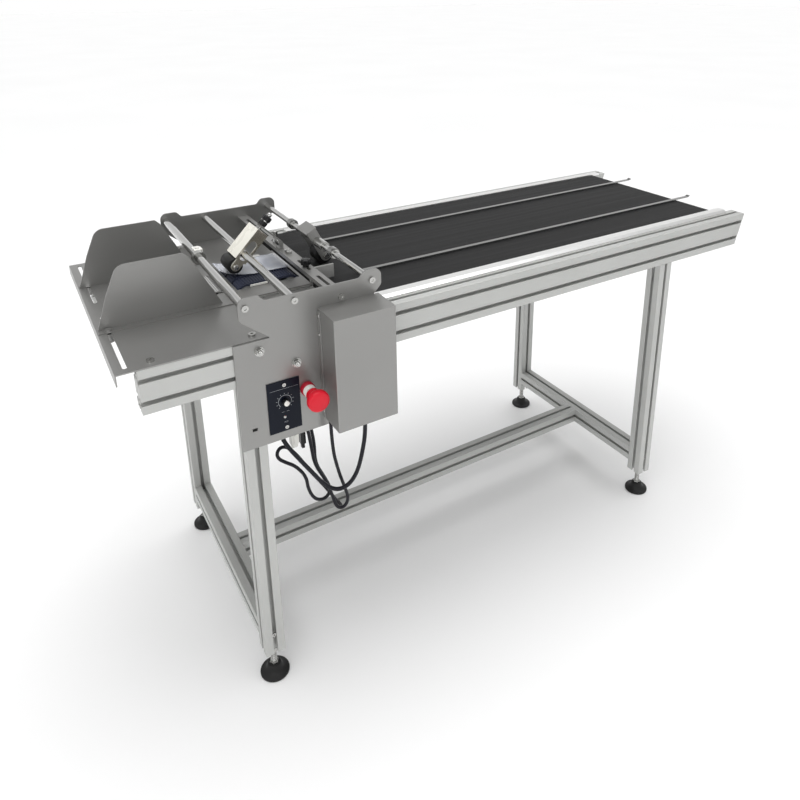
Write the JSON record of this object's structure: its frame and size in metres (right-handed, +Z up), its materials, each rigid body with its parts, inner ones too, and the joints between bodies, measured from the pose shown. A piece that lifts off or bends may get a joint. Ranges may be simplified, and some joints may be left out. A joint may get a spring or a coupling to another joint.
{
  "type": "belt conveyor with friction feeder",
  "caption": "Flat belt conveyor on a slotted aluminium frame with levelling feet and a friction feeder head with tray, guides, separator and controls at its infeed.",
  "frame": {"origin": "centre of the footprint, on the floor", "axes": "+X along the belt from infeed to outfeed, +Y from the operator's side to the rear, +Z up"},
  "size_m": [1.532, 0.619, 0.8787],
  "materials": {
    "anodised": "satin clear anodised extrusion",
    "edge_strip": "satin white",
    "stainless": "brushed stainless sheet",
    "bright_steel": "polished",
    "roller_metal": "turned",
    "belt_black": "matte",
    "belt_blue": "matte toothed",
    "foot_rubber": "satin black",
    "motor_grey": "satin",
    "clear_film": "clear film",
    "cream_housing": "satin",
    "black_rubber": "matte",
    "black_plastic": "satin",
    "panel_black": "satin dark panel",
    "stop_red": "satin red",
    "stop_base_red": "satin red",
    "cable_black": "satin"
  },
  "bodies": {
    "frame": {"front_rail": "anodised", "rear_rail": "anodised", "leg_infeed_front": "anodised", "leg_infeed_rear": "anodised", "leg_outfeed_front": "anodised", "leg_outfeed_rear": "anodised", "cross_stretchers": "anodised", "long_stretcher": "anodised", "bed_cross_beams": "anodised", "slider_bed": "stainless", "conveyor_belt": "belt_black", "drum_motor_axle": "bright_steel", "roller_end_blocks": "anodised", "belt_edge_strips": "edge_strip", "side_plate_front": "stainless", "side_plate_rear": "stainless", "infeed_tie_rod": "bright_steel", "separator_rod": "bright_steel", "kicker_rod": "bright_steel", "slotted_cross_bar": "stainless", "infeed_tray": "stainless", "feed_frame": "anodised", "feed_table": "stainless", "feed_belts": "belt_blue", "feed_gear_motor": "motor_grey", "feed_timing_belt": "belt_blue", "film_guard": "clear_film", "separator_bracket": "stainless", "rod_collars": "bright_steel", "control_panel": "panel_black", "emergency_stop_base": "stop_base_red", "control_box_base": "stainless", "control_box_lid": "stainless", "fasteners": "bright_steel", "cable_box_to_panel": "cable_black", "cable_box_to_stop": "cable_black", "cable_tail": "cable_black", "cable_plugs": "black_plastic"},
    "drive_drum": {"drive_drum": "roller_metal"},
    "tail_roller": {"tail_roller": "roller_metal"},
    "feed_drive": {"feed_drive_roller": "roller_metal"},
    "feed_idle": {"feed_idle_roller": "roller_metal"},
    "motor_pulley": {"motor_pulley": "roller_metal"},
    "pickup": {"pickup_roller": "bright_steel"},
    "guide_front": {"tray_guide_front": "stainless"},
    "guide_rear": {"tray_guide_rear": "stainless"},
    "separator": {"separator_housing": "cream_housing"},
    "separator_roller": {"separator_roller": "black_rubber"},
    "separator_knob": {"separator_knob": "black_plastic"},
    "kicker": {"kicker_bracket": "stainless"},
    "kicker_wheel": {"kicker_wheel": "black_rubber"},
    "hold_down_front": {"hold_down_strip_front": "stainless"},
    "hold_down_rear": {"hold_down_strip_rear": "stainless"},
    "speed_knob": {"speed_knob": "black_plastic"},
    "stop_head": {"emergency_stop_head": "stop_red"},
    "bar_clamp_knob": {"bar_clamp_knob": "black_plastic"},
    "foot_infeed_front": {"levelling_foot_infeed_front": "foot_rubber"},
    "foot_infeed_rear": {"levelling_foot_infeed_rear": "foot_rubber"},
    "foot_outfeed_front": {"levelling_foot_outfeed_front": "foot_rubber"},
    "foot_outfeed_rear": {"levelling_foot_outfeed_rear": "foot_rubber"}
  },
  "joints": [
    {"name": "drive_drum_spin", "type": "hinge", "parent": "frame", "child": "drive_drum", "pos_m": [0.693, 0.0305, 0.728], "axis": [0, 1, 0], "continuous": true},
    {"name": "tail_roller_spin", "type": "hinge", "parent": "frame", "child": "tail_roller", "pos_m": [-0.341, 0.0305, 0.728], "axis": [0, 1, 0], "continuous": true},
    {"name": "feed_drive_spin", "type": "hinge", "parent": "frame", "child": "feed_drive", "pos_m": [-0.4, 0.0305, 0.742], "axis": [0, 1, 0], "continuous": true},
    {"name": "feed_idle_spin", "type": "hinge", "parent": "frame", "child": "feed_idle", "pos_m": [-0.488, 0.0305, 0.742], "axis": [0, 1, 0], "continuous": true},
    {"name": "motor_pulley_spin", "type": "hinge", "parent": "frame", "child": "motor_pulley", "pos_m": [-0.434, 0.0305, 0.65], "axis": [0, 1, 0], "continuous": true},
    {"name": "pickup_spin", "type": "hinge", "parent": "frame", "child": "pickup", "pos_m": [-0.54, 0.0305, 0.742], "axis": [0, 1, 0], "continuous": true},
    {"name": "guide_front_slide", "type": "slide", "parent": "frame", "child": "guide_front", "axis": [0, 1, 0], "range_m": [-0.12, 0.045]},
    {"name": "guide_rear_slide", "type": "slide", "parent": "frame", "child": "guide_rear", "axis": [0, -1, 0], "range_m": [-0.092, 0.073]},
    {"name": "separator_height", "type": "slide", "parent": "frame", "child": "separator", "axis": [0.7071, 0, 0.7071], "range_m": [-0.004, 0.004]},
    {"name": "separator_knob_turn", "type": "hinge", "parent": "frame", "child": "separator_knob", "pos_m": [-0.4225, 0.0405, 0.8575], "axis": [0.7071, 0, 0.7071], "range_deg": [-725, 725]},
    {"name": "separator_roller_spin", "type": "hinge", "parent": "separator", "child": "separator_roller", "pos_m": [-0.49321, 0.0405, 0.78679], "axis": [0, 1, 0], "continuous": true},
    {"name": "kicker_swing", "type": "hinge", "parent": "frame", "child": "kicker", "pos_m": [-0.323, 0.0305, 0.812], "axis": [0, -1, 0], "range_deg": [0, 60]},
    {"name": "kicker_wheel_spin", "type": "hinge", "parent": "kicker", "child": "kicker_wheel", "pos_m": [-0.305, 0.0305, 0.7766], "axis": [0, 1, 0], "continuous": true},
    {"name": "hold_down_front_lift", "type": "hinge", "parent": "frame", "child": "hold_down_front", "pos_m": [-0.323, -0.0765, 0.812], "axis": [0, -1, 0], "range_deg": [0, 30]},
    {"name": "hold_down_rear_lift", "type": "hinge", "parent": "frame", "child": "hold_down_rear", "pos_m": [-0.323, 0.1375, 0.812], "axis": [0, -1, 0], "range_deg": [0, 30]},
    {"name": "bar_clamp_knob_turn", "type": "hinge", "parent": "frame", "child": "bar_clamp_knob", "pos_m": [-0.385, -0.0845, 0.804], "axis": [0, 0, 1], "range_deg": [0, 360]},
    {"name": "speed_knob_turn", "type": "hinge", "parent": "frame", "child": "speed_knob", "pos_m": [-0.503, -0.2475, 0.622], "axis": [0, -1, 0], "range_deg": [-150, 150]},
    {"name": "stop_press", "type": "slide", "parent": "frame", "child": "stop_head", "axis": [0, 1, 0], "range_m": [0, 0.004]},
    {"name": "foot_infeed_front_screw", "type": "slide", "parent": "frame", "child": "foot_infeed_front", "axis": [0, 0, -1], "range_m": [0, 0.03]},
    {"name": "foot_infeed_rear_screw", "type": "slide", "parent": "frame", "child": "foot_infeed_rear", "axis": [0, 0, -1], "range_m": [0, 0.03]},
    {"name": "foot_outfeed_front_screw", "type": "slide", "parent": "frame", "child": "foot_outfeed_front", "axis": [0, 0, -1], "range_m": [0, 0.03]},
    {"name": "foot_outfeed_rear_screw", "type": "slide", "parent": "frame", "child": "foot_outfeed_rear", "axis": [0, 0, -1], "range_m": [0, 0.03]}
  ],
  "couplings": [
    {"joint": "tail_roller_spin", "follows": "drive_drum_spin", "ratio": 1},
    {"joint": "feed_idle_spin", "follows": "feed_drive_spin", "ratio": 1},
    {"joint": "motor_pulley_spin", "follows": "feed_drive_spin", "ratio": 1},
    {"joint": "separator_knob_turn", "follows": "separator_height", "rad_per_m": 3141.6}
  ]
}
